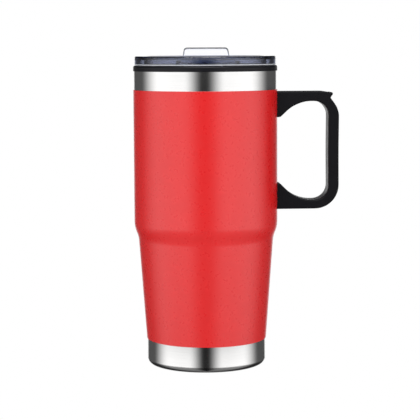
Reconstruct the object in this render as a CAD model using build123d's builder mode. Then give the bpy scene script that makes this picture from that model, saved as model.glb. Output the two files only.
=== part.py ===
from build123d import *
import os
from math import sqrt

os.makedirs("parts", exist_ok=True)

# Insulated travel mug, millimetres. The origin is the centre of the base on the
# table, +Z is up and the handle stands out along +X. The drinking hole is on -Y.

# Steel shell, measured outside on the bare steel
shell_height = 181.5
mouth_radius = 44.0
sheet = 0.6
straight_length = 95.9  # straight upper body, from the rim down to the step
step_height = 5.9
step_inset = 2.53  # how far the step comes in
foot_inset = 7.15  # mouth radius less foot radius
foot_band = 16.0  # bare steel band at the foot
foot_corner = 3.8
step_shoulder = 15.0
step_hollow = 14.0
lip_width = 6.35  # how far the sheet turns in under the foot
rim_band = 11.4  # bare steel band at the mouth

# Powder coat
coat = 0.25

# Base plate, a shallow dish inside the turned-in foot
dish_rise = 1.8
dish_setback = 3.0  # from the foot's hole in to the dish
dish_clearance = 0.25  # from the shell's foot corner in to the dish's rim

# Plastic liner
liner_wall = 1.5
hardware_gap = 3.4  # room between shell and liner for the handle's screws
lower_gap = 2.4
liner_corner = 6.0
rim_height = 3.4
rim_overhang = 0.25
rim_round = 1.2
mouth_round = 0.6
pad_setback = 3.5
pad_height = 3.0
rim_seal_height = 2.7
seat_clearance = 0.05

# Handle
handle_drop = 12.8  # from the shell's rim down to the handle's top edge
handle_height = 72.3
handle_reach = 37.7
handle_width = 15.0
grip_thickness = 6.3
grip_waist = 0.25
top_thickness = 5.95
bottom_thickness = 5.3
root_height = 15.7
root_flat = 1.4
root_round = 1.5
root_run = 10.5
arm_curve = 20.0
outer_corner = 14.6
inner_corner = 9.0
waist_curve = 500.0
shoulder_drop = 11.2
shoulder_curve = 12.0
notch_inset = 5.3  # the notch under the thumb rest, in from the grip and down
notch_drop = 4.0
notch_round = 0.6
rest_inset = 3.5
rest_run = 10.0  # the top edge slopes down to the thumb rest's tip over this length
rest_slope = 1.0
rest_curve = 15.0
rest_round = 0.9
handle_round = 1.2

# Strip that closes the hollow back of the handle
strip_thickness = 1.6
strip_width = 10.6
pocket_depth = 4.0
pocket_start = 9.5
strip_clearance = 0.05

# Screws, backing plates, sealing washers and inserts
screw_radius = 2.0
screw_hole = 2.2
head_radius = 4.0
head_height = 1.8
head_round = 0.8
recess_width = 0.9
recess_length = 4.2
recess_depth = 0.9
plate_size = 14.0
plate_thickness = 0.8
plate_corner = 2.0
washer_radius = 4.2
washer_thickness = 0.4
insert_radius = 2.9
insert_length = 6.0
insert_setback = 0.5
upper_screw_drop = 6.4  # from the handle's top edge
lower_screw_rise = 6.4  # from the handle's bottom edge

# Lid
lid_gap = 0.2  # between the liner's rim and the lid
lid_setback = 0.55  # the lid's flange is this much inside the shell's radius
flange_height = 5.5
flange_wall = 1.85
flange_top = 1.8
flange_round = 1.0
plug_clearance = 0.9
plug_wall = 2.0
plug_depth = 12.9
deck_drop = 5.3
deck_thickness = 1.9
groove_depth = 1.0
groove_height = 4.0
groove_rise = 3.0
vent_radius = 1.2
vent_margin = 6.6

# Lid seal
seal_running = 0.08
seal_side = 0.1
seal_base = 0.8
seal_clearance = 0.3
fin_height = 0.9
fin_slope = 0.3

# Slider, its rails and its pad
slider_gap = 0.7
slider_length = 30.0
slider_width = 30.4
slider_flange = 1.0
slider_flange_height = 1.1
slider_height = 3.6
slider_float = 0.1
slider_round = 0.6
slider_travel = 16.0
rail_clearance = 0.25
rail_wall = 1.6
rail_lip = 1.0
rail_lip_height = 1.1
stop_clearance = 0.3
stop_width = 6.0
stop_length = 2.0
stop_height = 1.0
sip_length = 16.0
sip_width = 7.0
sip_margin = 2.6
pad_margin = 1.5
pad_depth = 1.0
pad_fit = 0.05
pad_proud = 0.05

# Thumb tab on the slider
tab_base = 29.0
tab_top = 26.5
tab_thickness = 2.2
tab_height = 6.75
tab_corner = 2.0
tab_setback = 7.0

# Places worked out from the sizes above
foot_radius = mouth_radius - foot_inset
waist_radius = mouth_radius - step_inset
lip_radius = foot_radius - lip_width
dish_radius = lip_radius - dish_setback
dish_rim = foot_radius - foot_corner - dish_clearance
step_top = shell_height - straight_length
step_bottom = step_top - step_height
skin_radius = mouth_radius + coat
shell_inside = mouth_radius - sheet
coat_top = shell_height - rim_band
plate_top = sheet + dish_rise + sheet
liner_outer = shell_inside - hardware_gap
liner_mouth = liner_outer - liner_wall
liner_waist = waist_radius - sheet - lower_gap - liner_wall
liner_foot = foot_radius - sheet - lower_gap - liner_wall
liner_floor = plate_top + pad_height + liner_wall
rim_top = shell_height + rim_height
handle_top = shell_height - handle_drop
handle_bottom = handle_top - handle_height
screw_heights = (handle_top - upper_screw_drop, handle_bottom + lower_screw_rise)
washer_inside = shell_inside - washer_thickness
plate_inside = washer_inside - plate_thickness
head_seat = sqrt(plate_inside**2 - head_radius**2)
insert_start = skin_radius + insert_setback
insert_end = insert_start + insert_length
lid_bottom = rim_top + lid_gap
lid_top = lid_bottom + flange_height
lid_radius = mouth_radius - lid_setback
plug_radius = liner_mouth - plug_clearance
deck_radius = plug_radius - plug_wall
deck_top = lid_top - deck_drop
deck_bottom = deck_top - deck_thickness
plug_bottom = lid_bottom - plug_depth
groove_bottom = plug_bottom + groove_rise
groove_top = groove_bottom + groove_height
groove_radius = plug_radius - groove_depth
seal_inside = groove_radius + seal_running
seal_outside = liner_mouth - seal_clearance
seal_bottom = groove_bottom + seal_side
seal_top = groove_top - seal_side
slider_bottom = deck_top + slider_float
slider_top = slider_bottom + slider_height
slider_front = deck_radius - slider_gap
slider_back = slider_length - slider_front
sip_place = sip_margin + sip_width / 2 - slider_front
flange_half = slider_width / 2 + slider_flange
rail_inside = flange_half + rail_clearance
lip_bottom = slider_bottom + slider_flange_height + rail_clearance
lip_top = lip_bottom + rail_lip_height
rail_back = slider_back + slider_travel + stop_clearance


def finish(name, part):
    """Label a finished piece and write it to its own file."""
    part.label = name
    export_step(part, f"parts/{name}.step")


# ---------------------------------------------------------------- steel shell
# One drawn sheet: straight upper body, step, tapered lower body, turned-in foot.
with BuildPart() as outer_shell:
    with BuildSketch(Plane.XZ):
        with BuildLine():
            FilletPolyline(
                (mouth_radius, shell_height),
                (mouth_radius, step_top),
                (waist_radius, step_bottom),
                (foot_radius, foot_band),
                (foot_radius, 0),
                (lip_radius, 0),
                radius=(step_shoulder, step_hollow, 0, foot_corner),
            )
            offset(amount=sheet, side=Side.RIGHT)
        make_face()
    revolve(axis=Axis.Z)
    with BuildSketch(Plane.YZ):
        with Locations(*[(0, height) for height in screw_heights]):
            Circle(screw_hole)
    extrude(amount=mouth_radius + sheet, mode=Mode.SUBTRACT)
finish("outer_shell", outer_shell.part)

# Powder coat between the two bare bands
with BuildPart() as powder_coat:
    with BuildSketch(Plane.XZ):
        with BuildLine():
            FilletPolyline(
                (mouth_radius, coat_top),
                (mouth_radius, step_top),
                (waist_radius, step_bottom),
                (foot_radius, foot_band),
                radius=(step_shoulder, step_hollow),
            )
            offset(amount=coat, side=Side.LEFT)
        make_face()
    revolve(axis=Axis.Z)
    with BuildSketch(Plane.YZ):
        with Locations(*[(0, height) for height in screw_heights]):
            Circle(screw_hole)
    extrude(amount=mouth_radius + sheet, mode=Mode.SUBTRACT)
finish("powder_coat", powder_coat.part)

# Dished base plate, lying on the turned-in foot
with BuildPart() as base_plate:
    with BuildSketch(Plane.XZ):
        with BuildLine():
            FilletPolyline(
                (0, sheet + dish_rise),
                (dish_radius, sheet + dish_rise),
                (dish_radius + dish_rise, sheet),
                (dish_rim, sheet),
                radius=(sheet, sheet),
            )
            offset(amount=sheet, side=Side.LEFT)
        make_face()
    revolve(axis=Axis.Z)
finish("base_plate", base_plate.part)

# ---------------------------------------------------------------- liner
# Moulded cup hung in the shell by its rim, with room round it for air.
with BuildPart() as inner_liner:
    with BuildSketch(Plane.XZ):
        with BuildLine():
            FilletPolyline(
                (liner_mouth, rim_top),
                (liner_mouth, step_top),
                (liner_waist, step_bottom),
                (liner_foot, liner_floor),
                (0, liner_floor),
                radius=(step_shoulder, step_hollow, liner_corner),
            )
            offset(amount=liner_wall, side=Side.LEFT)
        make_face()
    revolve(axis=Axis.Z)
    with BuildSketch(Plane.XY.offset(shell_height)):
        Circle(mouth_radius + rim_overhang)
        Circle(liner_mouth, mode=Mode.SUBTRACT)
    extrude(amount=rim_height)
    rim_edges = inner_liner.edges().filter_by(GeomType.CIRCLE).group_by(Axis.Z)[-1]
    fillet(rim_edges.sort_by(SortBy.RADIUS)[-1], rim_round)
    mouth_edges = inner_liner.edges().filter_by(GeomType.CIRCLE).group_by(Axis.Z)[-1]
    fillet(mouth_edges.sort_by(SortBy.RADIUS)[0], mouth_round)
finish("inner_liner", inner_liner.part)

# Rubber ring that closes the gap between liner and shell below the rim
with BuildPart() as liner_rim_seal:
    with BuildSketch(Plane.XY.offset(shell_height - rim_seal_height)):
        Circle(shell_inside - seat_clearance)
        Circle(liner_outer + seat_clearance, mode=Mode.SUBTRACT)
    extrude(amount=rim_seal_height - seat_clearance)
    fillet(liner_rim_seal.edges().group_by(Axis.Z)[0], rim_seal_height / 5)
finish("liner_rim_seal", liner_rim_seal.part)

# Foam disc that carries the liner's floor on the base plate
with BuildPart() as liner_foot_pad:
    with BuildSketch(Plane.XY.offset(plate_top)):
        Circle(dish_radius - pad_setback)
    extrude(amount=pad_height)
finish("liner_foot_pad", liner_foot_pad.part)

# ---------------------------------------------------------------- handle
# The outline is drawn outwards from the coat and up from the handle's bottom edge.
handle_side = Plane(
    origin=(skin_radius, handle_width / 2, handle_bottom), x_dir=(1, 0, 0), z_dir=(0, -1, 0)
)
strip_side = handle_side.offset((handle_width - strip_width) / 2)
pocket_side = strip_side.offset(-strip_clearance)
root_start = -3.0  # the outline starts inside the shell and is cut back to the coat
grip_inside = handle_reach - grip_thickness
opening_top = handle_height - top_thickness

with BuildSketch(handle_side) as handle_outline:
    with BuildLine():
        FilletPolyline(
            (root_start, 0),
            (handle_reach, 0),
            (handle_reach - grip_waist, handle_height / 2),
            (handle_reach, handle_height - shoulder_drop),
            (handle_reach - notch_inset, handle_height - notch_drop),
            (handle_reach - rest_inset, handle_height - rest_slope),
            (handle_reach - rest_run, handle_height),
            (root_start, handle_height),
            radius=(
                outer_corner, waist_curve, shoulder_curve, notch_round, rest_round, rest_curve
            ),
        )
        Line((root_start, handle_height), (root_start, 0))
    make_face()


def finger_opening(side, grown, start=root_start):
    """The opening for the fingers, grown all round, from start outwards."""
    with BuildSketch(side) as opening:
        with BuildLine():
            FilletPolyline(
                (root_start, root_height),
                (root_flat, root_height),
                (root_flat + root_run, bottom_thickness),
                (grip_inside, bottom_thickness),
                (grip_inside - grip_waist, handle_height / 2),
                (grip_inside, opening_top),
                (root_flat + root_run, opening_top),
                (root_flat, handle_height - root_height),
                (root_start, handle_height - root_height),
                radius=(
                    root_round,
                    arm_curve,
                    inner_corner,
                    waist_curve,
                    inner_corner,
                    arm_curve,
                    root_round,
                ),
            )
            Line((root_start, handle_height - root_height), (root_start, root_height))
        make_face()
        if grown:
            offset(amount=grown)
            with Locations((start, 0)):
                Rectangle(
                    handle_reach, handle_height, align=(Align.MIN, Align.MIN), mode=Mode.INTERSECT
                )
    return opening.sketch


# Moulding with a thumb rest, hollow behind the fingers, cut to sit on the coat
with BuildPart() as handle_body:
    extrude(handle_outline.sketch, amount=handle_width)
    extrude(finger_opening(handle_side, 0), amount=handle_width, mode=Mode.SUBTRACT)
    side_edges = handle_body.edges().group_by(Axis.Y)
    fillet(side_edges[0] + side_edges[-1], handle_round)
    with BuildSketch(Plane.XY.offset(handle_bottom)):
        Circle(skin_radius)
    extrude(amount=handle_height, mode=Mode.SUBTRACT)
    extrude(
        finger_opening(pocket_side, pocket_depth, pocket_start),
        amount=strip_width + 2 * strip_clearance,
        mode=Mode.SUBTRACT,
    )
    with BuildSketch(Plane.YZ):
        with Locations(*[(0, height) for height in screw_heights]):
            Circle(insert_radius + strip_clearance)
    extrude(amount=insert_end, mode=Mode.SUBTRACT)
finish("handle_body", handle_body.part)

# Strip that closes the hollow and faces the fingers
with BuildPart() as grip_strip:
    strip_start = pocket_start + strip_clearance
    extrude(finger_opening(strip_side, strip_thickness, strip_start), amount=strip_width)
    extrude(finger_opening(strip_side, 0), amount=strip_width, mode=Mode.SUBTRACT)
finish("grip_strip", grip_strip.part)


def inside_shell(name, height, outer_radius, inner_radius, hole):
    """A pressed piece that lies inside the shell's wall behind a screw hole."""
    with BuildPart() as piece:
        with BuildSketch(Plane.XY.offset(height - plate_size / 2)):
            Circle(outer_radius)
            Circle(inner_radius, mode=Mode.SUBTRACT)
        extrude(amount=plate_size)
        with BuildSketch(Plane.YZ):
            with Locations((0, height)):
                RectangleRounded(plate_size, plate_size, plate_corner)
                Circle(hole, mode=Mode.SUBTRACT)
        extrude(amount=mouth_radius, mode=Mode.INTERSECT)
    finish(name, piece.part)


for end, height in zip(("upper", "lower"), screw_heights):
    inside_shell(f"{end}_backing_plate", height, washer_inside, plate_inside, screw_hole)

# Rubber washers between the shell and the backing plates
with BuildPart() as screw_washers:
    with BuildSketch(Plane.XY.offset(handle_bottom)):
        Circle(shell_inside)
        Circle(washer_inside, mode=Mode.SUBTRACT)
    extrude(amount=handle_height)
    with BuildSketch(Plane.YZ):
        with Locations(*[(0, height) for height in screw_heights]):
            Circle(washer_radius)
            Circle(screw_hole, mode=Mode.SUBTRACT)
    extrude(amount=mouth_radius, mode=Mode.INTERSECT)
finish("screw_washers", screw_washers.part)

# Pan-head screws, driven outwards from inside the shell before the liner goes in
with BuildPart() as handle_screws:
    with BuildSketch(Plane.YZ.offset(head_seat - head_height)):
        with Locations(*[(0, height) for height in screw_heights]):
            Circle(head_radius)
    extrude(amount=head_height)
    fillet(handle_screws.edges().group_by(Axis.X)[0], head_round)
    with BuildSketch(Plane.YZ.offset(head_seat)):
        with Locations(*[(0, height) for height in screw_heights]):
            Circle(screw_radius)
    extrude(amount=insert_end - head_seat)
    with BuildSketch(Plane.YZ.offset(head_seat - head_height)):
        with Locations(*[(0, height) for height in screw_heights]):
            Rectangle(recess_length, recess_width)
            Rectangle(recess_width, recess_length)
    extrude(amount=recess_depth, mode=Mode.SUBTRACT)
finish("handle_screws", handle_screws.part)

# Brass inserts moulded into the handle's two roots
with BuildPart() as handle_inserts:
    with BuildSketch(Plane.YZ.offset(insert_start)):
        with Locations(*[(0, height) for height in screw_heights]):
            Circle(insert_radius)
            Circle(screw_radius + strip_clearance, mode=Mode.SUBTRACT)
    extrude(amount=insert_length)
finish("handle_inserts", handle_inserts.part)

# ---------------------------------------------------------------- lid
# Clear moulding: flange over the rim, plug in the mouth, sunken deck with two rails.
with BuildPart() as lid_body:
    with BuildSketch(Plane.XZ):
        with BuildLine():
            Polyline(
                (0, deck_top),
                (deck_radius, deck_top),
                (deck_radius, lid_top),
                (lid_radius, lid_top),
                (lid_radius, lid_bottom),
                (lid_radius - flange_wall, lid_bottom),
                (lid_radius - flange_wall, lid_top - flange_top),
                (plug_radius, lid_top - flange_top),
                (plug_radius, groove_top),
                (groove_radius, groove_top),
                (groove_radius, groove_bottom),
                (plug_radius, groove_bottom),
                (plug_radius, plug_bottom),
                (deck_radius, plug_bottom),
                (deck_radius, deck_bottom),
                (0, deck_bottom),
                close=True,
            )
        make_face()
    revolve(axis=Axis.Z)
    top_edges = lid_body.edges().group_by(Axis.Z)[-1].sort_by(SortBy.RADIUS)
    fillet(top_edges[-1], flange_round)
    fillet(top_edges[0], flange_round / 2)
    for side in (-1, 1):
        with BuildSketch(Plane.XY.offset(deck_top)):
            with Locations((side * (rail_inside + rail_wall / 2), rail_back)):
                Rectangle(rail_wall, 2 * deck_radius, align=(Align.CENTER, Align.MAX))
            Circle(deck_radius + plug_wall / 2, mode=Mode.INTERSECT)
        extrude(amount=lip_top - deck_top)
        with BuildSketch(Plane.XY.offset(lip_bottom)):
            with Locations((side * (rail_inside + (rail_wall - rail_lip) / 2), rail_back)):
                Rectangle(rail_wall + rail_lip, 2 * deck_radius, align=(Align.CENTER, Align.MAX))
            Circle(deck_radius + plug_wall / 2, mode=Mode.INTERSECT)
        extrude(amount=rail_lip_height)
    with BuildSketch(Plane.XY.offset(deck_top)):
        with Locations((0, rail_back)):
            Rectangle(stop_width, stop_length, align=(Align.CENTER, Align.MIN))
    extrude(amount=stop_height)
    with BuildSketch(Plane.XY.offset(deck_bottom)):
        with Locations((0, sip_place)):
            SlotOverall(sip_length, sip_width)
        with Locations((0, deck_radius - vent_margin)):
            Circle(vent_radius)
    extrude(amount=deck_thickness, mode=Mode.SUBTRACT)
finish("lid_body", lid_body.part)

# Silicone ring with two fins, in the groove round the plug
with BuildPart() as lid_seal:
    with BuildSketch(Plane.XZ):
        with BuildLine():
            Polyline(
                (seal_inside, seal_bottom),
                (seal_outside, seal_bottom),
                (seal_outside, seal_bottom + fin_height),
                (seal_inside + seal_base, seal_bottom + fin_height + fin_slope),
                (seal_inside + seal_base, seal_top - fin_height - fin_slope),
                (seal_outside, seal_top - fin_height),
                (seal_outside, seal_top),
                (seal_inside, seal_top),
                close=True,
            )
        make_face()
    revolve(axis=Axis.Z)
finish("lid_seal", lid_seal.part)

# ---------------------------------------------------------------- slider
# Clear shutter over the drinking hole, held down by the rails, with a thumb tab.
with BuildPart() as slider:
    for width, height in (
        (2 * flange_half, slider_flange_height),
        (slider_width, slider_height),
    ):
        with BuildSketch(Plane.XY.offset(slider_bottom)):
            with Locations((0, slider_back)):
                Rectangle(width, slider_length, align=(Align.CENTER, Align.MAX))
            Circle(slider_front, mode=Mode.INTERSECT)
        extrude(amount=height)
    fillet(slider.edges().group_by(Axis.Z)[-1], slider_round)
    with BuildSketch(Plane.XZ.offset(tab_setback - slider_back)):
        with BuildLine():
            FilletPolyline(
                (-tab_base / 2, slider_top - slider_round),
                (-tab_top / 2, slider_top + tab_height),
                (tab_top / 2, slider_top + tab_height),
                (tab_base / 2, slider_top - slider_round),
                radius=tab_corner,
            )
            Line((tab_base / 2, slider_top - slider_round), (-tab_base / 2, slider_top - slider_round))
        make_face()
    extrude(amount=-tab_thickness)
    with BuildSketch(Plane.XY.offset(slider_bottom)):
        with Locations((0, sip_place)):
            SlotOverall(
                sip_length + 2 * (pad_margin + pad_fit), sip_width + 2 * (pad_margin + pad_fit)
            )
    extrude(amount=pad_depth, mode=Mode.SUBTRACT)
finish("slider", slider.part)

# Silicone pad set in the slider's underside, which closes the drinking hole
with BuildPart() as slider_pad:
    with BuildSketch(Plane.XY.offset(slider_bottom - pad_proud)):
        with Locations((0, sip_place)):
            SlotOverall(sip_length + 2 * pad_margin, sip_width + 2 * pad_margin)
    extrude(amount=pad_depth - pad_fit + pad_proud)
finish("slider_pad", slider_pad.part)
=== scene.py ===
import bpy
import math
from mathutils import Matrix, Vector


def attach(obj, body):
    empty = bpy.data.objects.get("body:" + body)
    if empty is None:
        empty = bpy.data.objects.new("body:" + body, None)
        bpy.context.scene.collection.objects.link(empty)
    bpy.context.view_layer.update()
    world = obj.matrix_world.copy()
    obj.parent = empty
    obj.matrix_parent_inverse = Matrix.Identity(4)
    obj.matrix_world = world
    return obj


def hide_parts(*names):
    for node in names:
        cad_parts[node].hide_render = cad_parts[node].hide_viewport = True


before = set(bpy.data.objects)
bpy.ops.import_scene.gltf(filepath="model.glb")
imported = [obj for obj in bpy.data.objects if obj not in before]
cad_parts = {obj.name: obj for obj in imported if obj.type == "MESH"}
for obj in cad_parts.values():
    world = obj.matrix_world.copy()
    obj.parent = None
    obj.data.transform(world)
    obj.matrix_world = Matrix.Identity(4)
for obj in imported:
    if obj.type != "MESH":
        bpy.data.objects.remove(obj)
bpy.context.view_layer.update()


# ------------------------------------------------------------------ steel shell
# The outer wall is one drawn sheet of stainless steel, turned in under the foot. It is brushed
# round the axis and left bare in a band at the mouth and a band at the foot.
def metre(value):
    """Millimetres to metres."""
    return value / 1000


def deselect():
    """Leave edit mode's and object mode's selections empty."""
    if bpy.context.object and bpy.context.object.mode != "OBJECT":
        bpy.ops.object.mode_set(mode="OBJECT")
    bpy.ops.object.select_all(action="DESELECT")


def pick(piece, mode, test):
    """In edit mode, select only the vertices, edges or faces that pass the test."""
    bpy.ops.mesh.select_mode(type=mode)
    bpy.ops.mesh.select_all(action="DESELECT")
    bpy.ops.object.mode_set(mode="OBJECT")
    mesh = piece.data
    parts = {"VERT": mesh.vertices, "EDGE": mesh.edges, "FACE": mesh.polygons}[mode]
    for part in parts:
        part.select = test(part)
    bpy.ops.object.mode_set(mode="EDIT")


def drawn(name, corners, plane="XZ"):
    """Draw a line corner by corner, in millimetres, and close it, leaving edit mode on.

    A corner is (across, up) or (across, up, radius), and a radius rounds it. A line with both
    ends on the axis stays open, because spinning it closes it.
    """

    def point(across, up):
        if plane == "XZ":
            return Vector((metre(across), 0, metre(up)))
        return Vector((metre(across), metre(up), 0))

    places = [point(corner[0], corner[1]) for corner in corners]
    deselect()
    bpy.ops.mesh.primitive_plane_add(size=0.001, location=places[0])
    piece = bpy.context.object
    piece.name = name
    bpy.ops.object.transform_apply(location=True)
    bpy.ops.object.mode_set(mode="EDIT")
    bpy.ops.mesh.select_mode(type="VERT")
    bpy.ops.mesh.select_all(action="SELECT")
    bpy.ops.mesh.merge(type="CENTER")
    for before, after in zip(places, places[1:]):
        bpy.ops.mesh.extrude_vertices_move(TRANSFORM_OT_translate={"value": after - before})
    ends = (places[0], places[-1])
    if any(end.x > 0 for end in ends):
        pick(piece, "VERT", lambda v: min((v.co - end).length for end in ends) < 1e-7)
        bpy.ops.mesh.edge_face_add()
    for index, corner in enumerate(corners):
        if len(corner) < 3:
            continue
        here = places[index]
        before = (places[index - 1] - here).normalized()
        after = (places[(index + 1) % len(places)] - here).normalized()
        turn = math.pi - before.angle(after)
        reach = metre(corner[2]) * math.tan(turn / 2)
        pick(piece, "VERT", lambda v: (v.co - here).length < 1e-7)
        segments = max(3, round(math.degrees(turn) / 9))
        bpy.ops.mesh.bevel(offset=reach, segments=segments, profile=0.5, affect="VERTICES")
    return piece


def inside_out(piece):
    """Whether a closed mesh holds less than nothing, because its faces point inwards."""
    mesh = piece.data
    mesh.calc_loop_triangles()
    held = 0.0
    for triangle in mesh.loop_triangles:
        a, b, c = (mesh.vertices[i].co for i in triangle.vertices)
        held += a.dot(b.cross(c))
    return held < 0


def smooth(piece, angle=30, square_cut=False):
    """Tidy a closed mesh: no doubles, normals outwards, smooth shading weighted to its flats.

    On a square-cut piece the faces square to the axes are shaded flat, whatever meets them.
    """
    bpy.ops.object.mode_set(mode="EDIT")
    bpy.ops.mesh.select_all(action="SELECT")
    bpy.ops.mesh.remove_doubles(threshold=1e-6)
    bpy.ops.mesh.normals_make_consistent(inside=False)
    bpy.ops.object.mode_set(mode="OBJECT")
    if inside_out(piece):
        bpy.ops.object.mode_set(mode="EDIT")
        bpy.ops.mesh.flip_normals()
        bpy.ops.object.mode_set(mode="OBJECT")
    bpy.ops.object.shade_smooth_by_angle(angle=math.radians(angle))
    if square_cut:
        for face in piece.data.polygons:
            if max(abs(part) for part in face.normal) > 0.99999:
                face.use_smooth = False
    weighted = piece.modifiers.new("flats", "WEIGHTED_NORMAL")
    weighted.keep_sharp = True
    bpy.ops.object.modifier_apply(modifier=weighted.name)


def turned(name, corners, steps=192):
    """Draw a half-section and spin it once round the axis."""
    piece = drawn(name, corners)
    bpy.ops.mesh.select_all(action="SELECT")
    bpy.ops.mesh.spin(steps=steps, angle=2 * math.pi, center=(0, 0, 0), axis=(0, 0, 1))
    smooth(piece)
    return piece


def new_material(name, colour, roughness, metallic=0.0, **sockets):
    """A principled material with its constant sockets set, and its node tree."""
    material = bpy.data.materials.new(name)
    material.use_nodes = True
    shader = material.node_tree.nodes["Principled BSDF"]
    shader.inputs["Base Color"].default_value = (*colour, 1)
    shader.inputs["Roughness"].default_value = roughness
    shader.inputs["Metallic"].default_value = metallic
    for socket, value in sockets.items():
        shader.inputs[socket.replace("_", " ")].default_value = value
    return material, material.node_tree, shader


def noise(tree, scale, stretch=(1, 1, 1), detail=2.0):
    """A noise pattern on the piece's own coordinates, stretched along the axes."""
    place = tree.nodes.new("ShaderNodeTexCoord")
    mapping = tree.nodes.new("ShaderNodeMapping")
    mapping.inputs["Scale"].default_value = stretch
    pattern = tree.nodes.new("ShaderNodeTexNoise")
    pattern.inputs["Scale"].default_value = scale
    pattern.inputs["Detail"].default_value = detail
    tree.links.new(place.outputs["Object"], mapping.inputs["Vector"])
    tree.links.new(mapping.outputs["Vector"], pattern.inputs["Vector"])
    return pattern.outputs["Fac"]


def spread(tree, value, low, high):
    """Spread a pattern between two numbers."""
    node = tree.nodes.new("ShaderNodeMapRange")
    node.inputs["From Min"].default_value = 0.3
    node.inputs["From Max"].default_value = 0.7
    node.inputs["To Min"].default_value = low
    node.inputs["To Max"].default_value = high
    tree.links.new(value, node.inputs["Value"])
    return node.outputs["Result"]


def two_colours(tree, value, dark, light):
    """Go from one colour to another over a pattern."""
    ramp = tree.nodes.new("ShaderNodeValToRGB")
    ramp.color_ramp.elements[0].position = 0.3
    ramp.color_ramp.elements[0].color = (*dark, 1)
    ramp.color_ramp.elements[1].position = 0.7
    ramp.color_ramp.elements[1].color = (*light, 1)
    tree.links.new(value, ramp.inputs["Fac"])
    return ramp.outputs["Color"]


def bumpy(tree, shader, height, distance, strength=1.0):
    """Give a surface relief from a pattern, as deep as the distance in metres."""
    bump = tree.nodes.new("ShaderNodeBump")
    bump.inputs["Strength"].default_value = strength
    bump.inputs["Distance"].default_value = distance
    tree.links.new(height, bump.inputs["Height"])
    tree.links.new(bump.outputs["Normal"], shader.inputs["Normal"])


def brushed_steel(name, colour, roughness, across, along):
    """Stainless steel with fine brush lines that run round the axis."""
    material, tree, shader = new_material(name, colour, roughness, metallic=1.0, Anisotropic=0.75)
    shader.inputs["Anisotropic Rotation"].default_value = 0.25
    tangent = tree.nodes.new("ShaderNodeTangent")
    tangent.direction_type = "RADIAL"
    tangent.axis = "Z"
    tree.links.new(tangent.outputs["Tangent"], shader.inputs["Tangent"])
    lines = noise(tree, 1.0, (along, along, across), 3.0)
    clouds = noise(tree, 60.0)
    tree.links.new(
        two_colours(tree, lines, [0.93 * c for c in colour], colour), shader.inputs["Base Color"]
    )
    tree.links.new(spread(tree, clouds, roughness, roughness + 0.015), shader.inputs["Roughness"])
    bumpy(tree, shader, lines, 0.00001, 0.35)
    return material


shell_radius = 44.0
shell_top = 181.5
step_top = 85.6
step_bottom = 79.7
waist_radius = 41.47
foot_radius = 36.85
foot_band = 16.0
foot_lip = 30.5
sheet = 0.6
foot_round = 3.8
outside = [
    (shell_radius - sheet, shell_top),
    (shell_radius, shell_top),
    (shell_radius, step_top, 15.0),
    (waist_radius, step_bottom, 14.0),
    (foot_radius, foot_band),
    (foot_radius, 0, foot_round),
    (foot_lip, 0, 0.15),
    (foot_lip, sheet, 0.15),
]
inside = [
    (foot_radius - sheet, sheet, foot_round - sheet),
    (foot_radius - sheet, foot_band),
    (waist_radius - sheet, step_bottom, 14.6),
    (shell_radius - sheet, step_top, 14.4),
]
steel_shell = turned("steel_shell", outside + inside)
steel = brushed_steel("brushed_steel", (0.70, 0.695, 0.69), 0.155, 5200.0, 26.0)
steel_shell.data.materials.append(steel)
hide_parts("outer_shell")
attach(steel_shell, "mug")


# ------------------------------------------------------------------ powder coat
# The red finish is a baked polymer powder, a quarter of a millimetre thick, masked off at the two
# steel bands, where it ends in a soft edge. It has a faint orange peel.
coat = 0.25
coat_top = 170.1
clear_of_steel = 0.02
red_coat = turned(
    "red_coat",
    [
        (shell_radius, coat_top),
        (shell_radius + coat, coat_top, 0.2),
        (shell_radius + coat, step_top, 15.2),
        (waist_radius + coat, step_bottom, 13.8),
        (foot_radius + coat, foot_band, 0.2),
        (foot_radius + clear_of_steel, foot_band),
        (waist_radius + clear_of_steel, step_bottom, 14.0),
        (shell_radius + clear_of_steel, step_top, 15.0),
    ],
)
red, tree, shader = new_material(
    "red_powder_coat", (0.56, 0.006, 0.007), 0.28, Specular_IOR_Level=0.65
)
tree.links.new(
    two_colours(tree, noise(tree, 90.0), (0.55, 0.006, 0.007), (0.565, 0.0065, 0.0075)),
    shader.inputs["Base Color"],
)
tree.links.new(spread(tree, noise(tree, 400.0), 0.27, 0.29), shader.inputs["Roughness"])
bumpy(tree, shader, noise(tree, 500.0, detail=0.0), 0.00002, 0.1)
red_coat.data.materials.append(red)
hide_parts("powder_coat")
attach(red_coat, "mug")


# ------------------------------------------------------------------ base plate
# Underneath, a pressed steel dish closes the shell. Its rim lies inside the turned-in foot, where
# it is welded, and its middle is raised so that the mug stands on the foot alone.
dish_rise = 2.4
dish_radius = 27.5
dish_rim = 32.8
base = turned(
    "base_dish",
    [
        (0, dish_rise),
        (dish_radius, dish_rise, 0.6),
        (dish_radius + 1.8, sheet, 0.6),
        (dish_rim, sheet),
        (dish_rim, 2 * sheet),
        (dish_radius + 2.05, 2 * sheet, 1.0),
        (dish_radius + 0.25, dish_rise + sheet, 1.0),
        (0, dish_rise + sheet),
    ],
)
base.data.materials.append(brushed_steel("turned_steel", (0.70, 0.70, 0.70), 0.30, 600.0, 600.0))
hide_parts("base_plate")
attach(base, "mug")


# ------------------------------------------------------------------ liner
# The drink sits in a moulded black polypropylene cup. Its rim lies over the shell's mouth and is
# the black ring between the steel and the lid.
def moulded(name, colour, roughness, grain, depth, gloss=0.5):
    """Moulded plastic or rubber with a fine grain, and gloss as its specular level."""
    material, tree, shader = new_material(name, colour, roughness, Specular_IOR_Level=gloss)
    tree.links.new(
        two_colours(tree, noise(tree, 120.0), [0.85 * c for c in colour], colour),
        shader.inputs["Base Color"],
    )
    tree.links.new(
        spread(tree, noise(tree, 350.0), roughness - 0.03, roughness + 0.05),
        shader.inputs["Roughness"],
    )
    bumpy(tree, shader, noise(tree, grain, detail=3.0), depth, 0.5)
    return material


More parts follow.
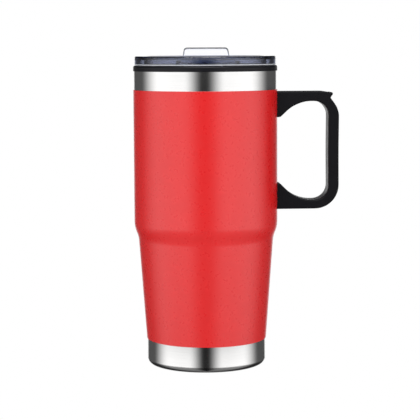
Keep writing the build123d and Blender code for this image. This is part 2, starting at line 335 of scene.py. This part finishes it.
mouth = 38.5
rim_top = 184.9
rim_outside = shell_radius + coat
cup_floor = 7.5
cup_foot = 32.35
cup_waist = 36.97
liner_wall = 1.5
cup = turned(
    "liner_cup",
    [
        (0, cup_floor),
        (cup_foot, cup_floor, 6.0),
        (cup_waist, step_bottom, 14.0),
        (mouth, step_top, 15.0),
        (mouth, rim_top, 0.6),
        (rim_outside, rim_top, 1.2),
        (rim_outside, shell_top, 0.2),
        (mouth + liner_wall, shell_top),
        (mouth + liner_wall, step_top, 13.5),
        (cup_waist + liner_wall, step_bottom, 15.5),
        (cup_foot + liner_wall, cup_floor - liner_wall, 7.5),
        (0, cup_floor - liner_wall),
    ],
)
cup.data.materials.append(
    moulded("black_polypropylene", (0.005, 0.005, 0.007), 0.36, 1800.0, 0.00001, gloss=0.2)
)
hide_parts("inner_liner")
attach(cup, "mug")

# Hidden inside: a ring under the rim, a pad on the base and the washers of the handle's screws
rubber = moulded("black_rubber", (0.025, 0.025, 0.025), 0.75, 900.0, 0.00003)
for node in ("liner_rim_seal", "liner_foot_pad", "screw_washers"):
    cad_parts[node].data.materials.clear()
    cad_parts[node].data.materials.append(rubber)


# ------------------------------------------------------------------ handle
# The handle is a black moulding with a hollow back and a thumb rest, held on by one screw at each
# root. A separate strip closes the hollow on the side of the fingers and leaves a fine seam.
def filled(piece, start, width):
    """Fill a drawn loop in the XZ plane, set it at a place along Y and give it its width."""
    bpy.ops.mesh.select_all(action="SELECT")
    bpy.ops.mesh.edge_face_add()
    bpy.ops.transform.translate(value=(0, metre(start), 0))
    bpy.ops.mesh.extrude_region_move(TRANSFORM_OT_translate={"value": (0, metre(width), 0)})


def closed_normals():
    """Merge doubles and turn all faces outwards, in edit mode."""
    bpy.ops.mesh.select_all(action="SELECT")
    bpy.ops.mesh.remove_doubles(threshold=1e-7)
    bpy.ops.mesh.normals_make_consistent(inside=False)


def combine(piece, other, operation):
    """Cut one closed piece with another, join them or keep what they share; the other goes."""
    deselect()
    bpy.context.view_layer.objects.active = piece
    piece.select_set(True)
    boolean = piece.modifiers.new("combine", "BOOLEAN")
    boolean.operation = operation
    boolean.solver = "EXACT"
    boolean.object = other
    bpy.ops.object.modifier_apply(modifier=boolean.name)
    bpy.data.objects.remove(other)


skin = shell_radius + coat
inside_shell = 41.5
handle_bottom = 96.4
handle_top = 168.7
handle_middle = (handle_bottom + handle_top) / 2
handle_width = 15.0
grip_outside = 81.95
grip_inside = 75.65
waist = 0.25
root_low = 112.1
root_high = 153.0
root_end = 45.65
opening_low = 101.7
opening_high = 162.75
slope_end = 56.15
slope_round = 20.0
grip_round = 9.0
waist_round = 500.0


def grown(depth):
    """The finger opening's outline from root to root, moved out into the handle by a depth."""
    back = depth * math.tan(math.radians(22.5))
    slant = depth * math.sin(math.radians(45))
    return [
        (root_end - slant, root_low - slant),
        (slope_end - back, opening_low - depth, slope_round + depth),
        (grip_inside + depth, opening_low - depth, grip_round + depth),
        (grip_inside - waist + depth, handle_middle, waist_round),
        (grip_inside + depth, opening_high + depth, grip_round + depth),
        (slope_end - back, opening_high + depth, slope_round + depth),
        (root_end - slant, root_high + slant),
    ]


rest_start = 71.95
rest_tip = 78.45
rest_notch = 76.65
tip_drop = 1.0
notch_drop = 4.0
shoulder = 157.5
handle_edge = 0.7
handle = drawn(
    "handle_moulding",
    [
        (inside_shell, handle_top),
        (rest_start, handle_top, 15.0),
        (rest_tip, handle_top - tip_drop, 0.9),
        (rest_notch, handle_top - notch_drop, 0.6),
        (grip_outside, shoulder, 12.0),
        (grip_outside - waist, handle_middle, waist_round),
        (grip_outside, handle_bottom, 14.6),
        (inside_shell, handle_bottom),
        (inside_shell, root_low),
    ]
    + grown(0)
    + [(inside_shell, root_high)],
)
filled(handle, -handle_width / 2, handle_width)
closed_normals()


def behind_fingers(name, corners, start, width):
    """Fill an outline, give it its width, centred, and cut it off square near the roots."""
    piece = drawn(name, corners)
    filled(piece, -width / 2, width)
    bpy.ops.mesh.select_all(action="SELECT")
    bpy.ops.mesh.bisect(
        plane_co=(metre(start), 0, 0), plane_no=(1, 0, 0), use_fill=True, clear_inner=True
    )
    closed_normals()
    return piece


pocket_start = 53.75
pocket_depth = 4.0
strip_width = 10.5
strip_depth = 1.6
strip_gap = 0.1
strip_end_gap = 0.05
pocket = behind_fingers("pocket", grown(pocket_depth), pocket_start, strip_width + 2 * strip_gap)
combine(handle, pocket, "DIFFERENCE")
deselect()
bpy.ops.mesh.primitive_cylinder_add(
    vertices=384,
    radius=metre(skin + clear_of_steel),
    depth=0.1,
    location=(0, 0, metre(handle_middle)),
)
combine(handle, bpy.context.object, "DIFFERENCE")
insert_end = skin + 6.5
insert_radius = 2.95
insert_inset = 6.4
bore_length = 12.0
for height in (handle_top - insert_inset, handle_bottom + insert_inset):
    deselect()
    bpy.ops.mesh.primitive_cylinder_add(
        vertices=48,
        radius=metre(insert_radius),
        depth=metre(bore_length),
        location=(metre(insert_end - bore_length / 2), 0, metre(height)),
        rotation=(0, math.radians(90), 0),
    )
    combine(handle, bpy.context.object, "DIFFERENCE")
bpy.ops.object.mode_set(mode="EDIT")
side = metre(handle_width / 2)
pick(handle, "EDGE", lambda e: all(
    abs(abs(handle.data.vertices[i].co.y) - side) < 1e-6 for i in e.vertices
) and max(handle.data.vertices[i].co.x for i in e.vertices) > metre(skin))
bpy.ops.mesh.bevel(offset=metre(handle_edge), segments=4, profile=0.5, affect="EDGES")
smooth(handle)
handle.data.materials.append(
    moulded("black_nylon", (0.003, 0.003, 0.0045), 0.48, 2600.0, 0.00003, gloss=0.15)
)
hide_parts("handle_body")
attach(handle, "mug")

proud = 0.05
strip_edge = 0.3
strip = behind_fingers(
    "finger_strip",
    grown(strip_depth) + grown(-proud)[::-1],
    pocket_start + strip_end_gap,
    strip_width,
)
side = metre(strip_width / 2)
pick(strip, "EDGE", lambda e: all(
    abs(abs(strip.data.vertices[i].co.y) - side) < 1e-6 for i in e.vertices
))
bpy.ops.mesh.bevel(offset=metre(strip_edge), segments=3, profile=0.5, affect="EDGES")
smooth(strip)
strip.data.materials.append(
    moulded("black_strip", (0.010, 0.010, 0.013), 0.30, 2600.0, 0.00001, gloss=0.12)
)
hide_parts("grip_strip")
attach(strip, "mug")

# Hidden behind the shell's wall: backing plates, screws and the inserts that they bite in
zinc, tree, shader = new_material("zinc_plated_steel", (0.60, 0.60, 0.62), 0.35, metallic=1.0)
tree.links.new(spread(tree, noise(tree, 700.0), 0.28, 0.45), shader.inputs["Roughness"])
bumpy(tree, shader, noise(tree, 1500.0), 0.00002, 0.4)
brass, tree, shader = new_material("turned_brass", (0.78, 0.60, 0.27), 0.32, metallic=1.0)
tree.links.new(spread(tree, noise(tree, 900.0), 0.26, 0.40), shader.inputs["Roughness"])
for nodes, material in (
    (("upper_backing_plate", "lower_backing_plate", "handle_screws"), zinc),
    (("handle_inserts",), brass),
):
    for node in nodes:
        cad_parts[node].data.materials.clear()
        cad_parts[node].data.materials.append(material)


# ------------------------------------------------------------------ lid
# The lid is one clear moulding with a faint smoke tint. A flange stands on the black rim, a plug
# goes down the mouth, and the sunken deck carries two rails, a drinking hole and an air hole.
lid_bottom = 185.1
lid_top = 190.6
lid_radius = 43.45
plug_radius = 37.6
deck_radius = 35.6
deck_top = 185.3
deck_bottom = 183.4
flange_wall = 3.3
flange_thickness = 1.8
flange_roof = lid_top - flange_thickness
edge_round = 0.6
plug_end = 172.2
groove_low, groove_high = 175.0, 179.0
groove_depth = 1.0
groove_radius = plug_radius - groove_depth
lid = turned(
    "lid_moulding",
    [
        (0, deck_top),
        (deck_radius, deck_top, 0.3),
        (deck_radius, lid_top, 0.5),
        (lid_radius, lid_top, 1.0),
        (lid_radius, lid_bottom, edge_round),
        (lid_radius - flange_wall, lid_bottom, 0.25),
        (lid_radius - flange_wall, flange_roof, 0.4),
        (plug_radius, flange_roof, 0.4),
        (plug_radius, groove_high),
        (groove_radius, groove_high),
        (groove_radius, groove_low),
        (plug_radius, groove_low),
        (plug_radius, plug_end, 0.4),
        (deck_radius, plug_end, 0.4),
        (deck_radius, deck_bottom, 0.5),
        (0, deck_bottom),
    ],
)


def block(name, low, high):
    """A box between two corners, in millimetres."""
    deselect()
    middle = [metre((a + b) / 2) for a, b in zip(low, high)]
    bpy.ops.mesh.primitive_cube_add(size=1, location=middle)
    piece = bpy.context.object
    piece.name = name
    piece.scale = [metre(b - a) for a, b in zip(low, high)]
    bpy.ops.object.transform_apply(location=True, scale=True)
    return piece


def slot_hole(name, middle, length, width, low, high):
    """A round-ended bar along X, between two heights."""
    half, radius = length / 2, width / 2
    corner = radius * 0.999  # two corners of the full radius would meet in one point
    piece = drawn(
        name,
        [
            (-half, middle - radius, corner),
            (half, middle - radius, corner),
            (half, middle + radius, corner),
            (-half, middle + radius, corner),
        ],
        plane="XY",
    )
    bpy.ops.mesh.select_all(action="SELECT")
    bpy.ops.mesh.edge_face_add()
    bpy.ops.transform.translate(value=(0, 0, metre(low)))
    bpy.ops.mesh.extrude_region_move(TRANSFORM_OT_translate={"value": (0, 0, metre(high - low))})
    closed_normals()
    return piece


rail_inside = 16.45
rail_outside = 18.05
rail_back = 11.4
lip = 1.0
lip_bottom = 186.75
lip_top = 187.85
sunk = 0.3
into_wall = 0.9
for side_of_deck in (-1, 1):
    front = -math.sqrt((deck_radius + into_wall) ** 2 - rail_outside**2)
    for near, low in ((rail_inside, deck_top - sunk), (rail_inside - lip, lip_bottom)):
        ends = sorted((side_of_deck * near, side_of_deck * rail_outside))
        rail = block("rail", (ends[0], front, low), (ends[1], rail_back, lip_top))
        combine(lid, rail, "UNION")
stop_half = 3.0
stop_depth = 2.0
stop_height = 1.0
stop = block(
    "stop",
    (-stop_half, rail_back, deck_top - sunk),
    (stop_half, rail_back + stop_depth, deck_top + stop_height),
)
combine(lid, stop, "UNION")
sip_middle = -28.8
sip_length = 16.0
sip_width = 7.0
sip = slot_hole("sip", sip_middle, sip_length, sip_width, deck_bottom - 1, deck_top + 0.6)
combine(lid, sip, "DIFFERENCE")
deselect()
air_radius = 1.2
air_place = 29.0
air_depth = 6.0
bpy.ops.mesh.primitive_cylinder_add(
    vertices=32,
    radius=metre(air_radius),
    depth=metre(air_depth),
    location=(0, metre(air_place), metre(deck_top)),
)
combine(lid, bpy.context.object, "DIFFERENCE")
bpy.ops.object.mode_set(mode="EDIT")
smooth(lid, square_cut=True)


def clear_plastic(name, tint, density, roughness):
    """Clear moulded plastic that darkens with its depth, a little uneven where it flowed."""
    material, tree, shader = new_material(name, (0.98, 0.985, 1.0), roughness)
    depth = tree.nodes.new("ShaderNodeVolumeAbsorption")
    depth.inputs["Color"].default_value = (*tint, 1)
    depth.inputs["Density"].default_value = density
    tree.links.new(depth.outputs["Volume"], tree.nodes["Material Output"].inputs["Volume"])
    shader.inputs["Transmission Weight"].default_value = 1.0
    shader.inputs["IOR"].default_value = 1.5
    tree.links.new(
        spread(tree, noise(tree, 250.0), roughness, roughness + 0.03), shader.inputs["Roughness"]
    )
    bumpy(tree, shader, noise(tree, 70.0, detail=1.0), 0.00006, 0.2)
    return material


smoke = clear_plastic("clear_smoke_plastic", (0.05, 0.11, 0.30), 200.0, 0.02)
lid.data.materials.append(smoke)
# A pale matt material on the flange's lower outer edge is a painted highlight: it makes a thin
# pale line there, standing in for light caught on that edge
painted_edge_highlight, tree, shader = new_material("painted_highlight_edge", (0.62, 0.64, 0.68), 0.6)
tree.links.new(spread(tree, noise(tree, 300.0), 0.55, 0.65), shader.inputs["Roughness"])
lid.data.materials.append(painted_edge_highlight)
# The faces at the flange's lower outer edge take the painted highlight
for face in lid.data.polygons:
    from_axis = math.hypot(face.center.x, face.center.y)
    low = face.center.z < metre(lid_bottom + edge_round - 0.02)
    if low and from_axis > metre(lid_radius - edge_round):
        face.material_index = 1
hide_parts("lid_body")
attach(lid, "lid")


# ------------------------------------------------------------------ lid seal
# A translucent silicone ring with two fins sits in the plug's groove and seals the mouth.
seal_inside = 36.68
seal_web = 37.48
seal_fin = 38.2
fin_edge = 0.9
fin_root = 1.2
seal_low, seal_high = 175.1, 178.9
ring = turned(
    "lid_seal_ring",
    [
        (seal_inside, seal_low),
        (seal_fin, seal_low, 0.25),
        (seal_fin, seal_low + fin_edge, 0.3),
        (seal_web, seal_low + fin_root, 0.2),
        (seal_web, seal_high - fin_root, 0.2),
        (seal_fin, seal_high - fin_edge, 0.3),
        (seal_fin, seal_high, 0.25),
        (seal_inside, seal_high),
    ],
)
silicone, tree, shader = new_material("silicone", (0.66, 0.68, 0.70), 0.45)
shader.inputs["Transmission Weight"].default_value = 0.35
shader.inputs["Subsurface Weight"].default_value = 0.2
shader.inputs["Subsurface Radius"].default_value = (0.002, 0.002, 0.002)
tree.links.new(spread(tree, noise(tree, 300.0), 0.42, 0.52), shader.inputs["Roughness"])
bumpy(tree, shader, noise(tree, 1200.0), 0.00002, 0.3)
ring.data.materials.append(silicone)
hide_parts("lid_seal")
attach(ring, "seal_ring")


# ------------------------------------------------------------------ slider
# A clear shutter runs between the rails and covers the drinking hole. A thin upright tab across
# it is pushed by the thumb, and a silicone pad in its underside closes the hole.
slider_bottom = 185.4
slider_top = 189.0
slider_front = -34.9
slider_back = -4.9
slider_half = 15.2
foot_half = 16.2
foot_top = 186.5
slider_edge = 0.6
tab_place = -11.9
tab_top = 195.75
tab_half = 14.5
tab_top_half = 13.25
tab_corner = 2.0
tab_depth = 2.2
tab_edge = 0.9
tab_sunk = 0.6
slider = block(
    "slide_shutter",
    (-slider_half, slider_front, slider_bottom),
    (slider_half, slider_back, slider_top),
)
foot = block(
    "foot", (-foot_half, slider_front, slider_bottom), (foot_half, slider_back, foot_top)
)
combine(slider, foot, "UNION")
deselect()
bpy.ops.mesh.primitive_cylinder_add(
    vertices=256, radius=metre(-slider_front), depth=0.02, location=(0, 0, metre(slider_top))
)
combine(slider, bpy.context.object, "INTERSECT")
bpy.ops.object.mode_set(mode="EDIT")
closed_normals()
pick(slider, "EDGE", lambda e: all(
    slider.data.vertices[i].co.z > metre(slider_top) - 1e-6 for i in e.vertices
))
bpy.ops.mesh.bevel(offset=metre(slider_edge), segments=3, profile=0.5, affect="EDGES")
tab = drawn(
    "tab",
    [
        (-tab_half, slider_top - tab_sunk),
        (-tab_top_half, tab_top, tab_corner),
        (tab_top_half, tab_top, tab_corner),
        (tab_half, slider_top - tab_sunk),
    ],
)
filled(tab, tab_place, tab_depth)
closed_normals()
pick(tab, "EDGE", lambda e: all(
    tab.data.vertices[i].co.z > metre(slider_top + 0.1) for i in e.vertices
) and len({round(tab.data.vertices[i].co.y, 6) for i in e.vertices}) == 1)
bpy.ops.mesh.bevel(offset=metre(tab_edge), segments=4, profile=0.5, affect="EDGES")
closed_normals()
bpy.ops.object.mode_set(mode="OBJECT")
combine(slider, tab, "UNION")
pad_length = 19.0
pad_width = 10.0
pad_gap = 0.05
seat = slot_hole(
    "pad_seat",
    sip_middle,
    pad_length + 2 * pad_gap,
    pad_width + 2 * pad_gap,
    slider_bottom - 1,
    slider_bottom + 1,
)
combine(slider, seat, "DIFFERENCE")
bpy.ops.object.mode_set(mode="EDIT")
smooth(slider, square_cut=True)
slider.data.materials.append(clear_plastic("clear_plastic", (0.30, 0.38, 0.55), 50.0, 0.02))
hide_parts("slider")
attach(slider, "shutter")

pad = slot_hole(
    "shutter_pad",
    sip_middle,
    pad_length,
    pad_width,
    slider_bottom - pad_gap,
    slider_bottom + 1 - pad_gap,
)
smooth(pad)
pad.data.materials.append(silicone)
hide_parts("slider_pad")
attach(pad, "shutter")


# ------------------------------------------------------------------ studio
# A soft white sky, brightest at each side, with a darker gap straight ahead. A white floor sends
# light up from below, but neither the camera nor the reflections see it.
deselect()
bpy.ops.mesh.primitive_plane_add(size=3, location=(0, 0, -0.0002))
floor = bpy.context.object
floor.name = "floor"
white, tree, shader = new_material("white_floor", (0.93, 0.93, 0.93), 0.9)
tree.links.new(
    two_colours(tree, noise(tree, 3.0), (0.92, 0.92, 0.92), (0.94, 0.94, 0.94)),
    shader.inputs["Base Color"],
)
shader.inputs["Emission Color"].default_value = (1, 1, 1, 1)
shader.inputs["Emission Strength"].default_value = 0.25
floor.data.materials.append(white)
floor.visible_glossy = False
floor.visible_shadow = False
floor.visible_camera = False

world = bpy.data.worlds.new("studio")
world.use_nodes = True
bpy.context.scene.world = world
tree = world.node_tree


def eased(tree, value, stops):
    """A brightness that eases from stop to stop, each a place from 0 to 1 and a brightness."""
    ramp = tree.nodes.new("ShaderNodeValToRGB")
    ramp.color_ramp.interpolation = "EASE"
    elements = ramp.color_ramp.elements
    while len(elements) < len(stops):
        elements.new(0.5)
    for element, (place, brightness) in zip(elements, stops):
        element.position = place
        element.color = (brightness, brightness, brightness, 1)
    tree.links.new(value, ramp.inputs["Fac"])
    return ramp.outputs["Color"]


# Brightness round the horizon, in degrees from the camera, then how it fades up and down
camera_side = 4.5
direction = tree.nodes.new("ShaderNodeTexCoord")
turned_round = tree.nodes.new("ShaderNodeMapping")
turned_round.inputs["Rotation"].default_value = (0, 0, math.radians(90 + camera_side))
compass = tree.nodes.new("ShaderNodeTexGradient")
compass.gradient_type = "RADIAL"
tree.links.new(direction.outputs["Generated"], turned_round.inputs["Vector"])
tree.links.new(turned_round.outputs["Vector"], compass.inputs["Vector"])
half_round = [(3.5, 0.01), (34, 0.96), (76, 1.0), (122, 0.07), (155, 0.06), (165, 0.7)]
round_horizon = eased(
    tree,
    compass.outputs["Fac"],
    [(0.5 - angle / 360, level) for angle, level in reversed(half_round)]
    + [(0.5 + angle / 360, level) for angle, level in half_round],
)
height = tree.nodes.new("ShaderNodeSeparateXYZ")
tree.links.new(direction.outputs["Generated"], height.inputs["Vector"])
half_height = tree.nodes.new("ShaderNodeMapRange")
half_height.inputs["From Min"].default_value = -1
tree.links.new(height.outputs["Z"], half_height.inputs["Value"])
near_horizon = eased(
    tree,
    half_height.outputs["Result"],
    [(0.0, 0.15), (0.28, 0.2), (0.39, 1.0), (0.52, 1.0), (0.60, 0.03)],
)
above = eased(tree, half_height.outputs["Result"], [(0.75, 0.0), (0.9, 0.5)])
sky = tree.nodes.new("ShaderNodeMath")
sky.operation = "MULTIPLY_ADD"
for socket, value in zip(sky.inputs, (round_horizon, near_horizon, above)):
    tree.links.new(value, socket)
scaled = tree.nodes.new("ShaderNodeMath")
scaled.operation = "MULTIPLY"
scaled.inputs[1].default_value = 1.65
tree.links.new(sky.outputs["Value"], scaled.inputs[0])
around = tree.nodes["Background"]
around.inputs["Color"].default_value = (1, 1, 1, 1)
tree.links.new(scaled.outputs["Value"], around.inputs["Strength"])

# The camera itself sees plain white behind the mug
backdrop = tree.nodes.new("ShaderNodeBackground")
backdrop.inputs["Color"].default_value = (1, 1, 1, 1)
path = tree.nodes.new("ShaderNodeLightPath")
choose = tree.nodes.new("ShaderNodeMixShader")
tree.links.new(path.outputs["Is Camera Ray"], choose.inputs["Fac"])
tree.links.new(around.outputs["Background"], choose.inputs[1])
tree.links.new(backdrop.outputs["Background"], choose.inputs[2])
tree.links.new(choose.outputs["Shader"], tree.nodes["World Output"].inputs["Surface"])

# One large soft light from high in front fills the front and the lid's top
data = bpy.data.lights.new("front_key", "AREA")
data.shape = "RECTANGLE"
data.size, data.size_y = 2.0, 1.2
data.energy = 38
key = bpy.data.objects.new("front_key", data)
bpy.context.scene.collection.objects.link(key)
key.location = (-0.1, -1.3, 1.5)
key.rotation_euler = (Vector((0, 0, 0.1)) - key.location).to_track_quat("-Z", "Y").to_euler()
key.visible_camera = False


# ------------------------------------------------------------------ camera
# A long lens almost level with the lid, looking slightly down, a little left of the handle's side.
camera_data = bpy.data.cameras.new("camera")
camera_data.lens = 132.9
camera_data.sensor_width = 36.0
camera_data.clip_start = 0.01
camera = bpy.data.objects.new("camera", camera_data)
bpy.context.scene.collection.objects.link(camera)
turn, down, roll = math.radians(3.2), math.radians(6.1), math.radians(0.28)
ahead = Vector(
    (math.sin(turn) * math.cos(down), math.cos(turn) * math.cos(down), -math.sin(down))
)
level = Vector((math.cos(turn), -math.sin(turn), 0))
upright = level.cross(ahead)
right = level * math.cos(roll) - upright * math.sin(roll)
above = right.cross(ahead)
camera.matrix_world = (
    Matrix.Translation((-0.05083, -0.95482, 0.19765))
    @ Matrix((right, above, -ahead)).transposed().to_4x4()
)
bpy.context.scene.camera = camera
bpy.context.scene.view_settings.view_transform = "Standard"
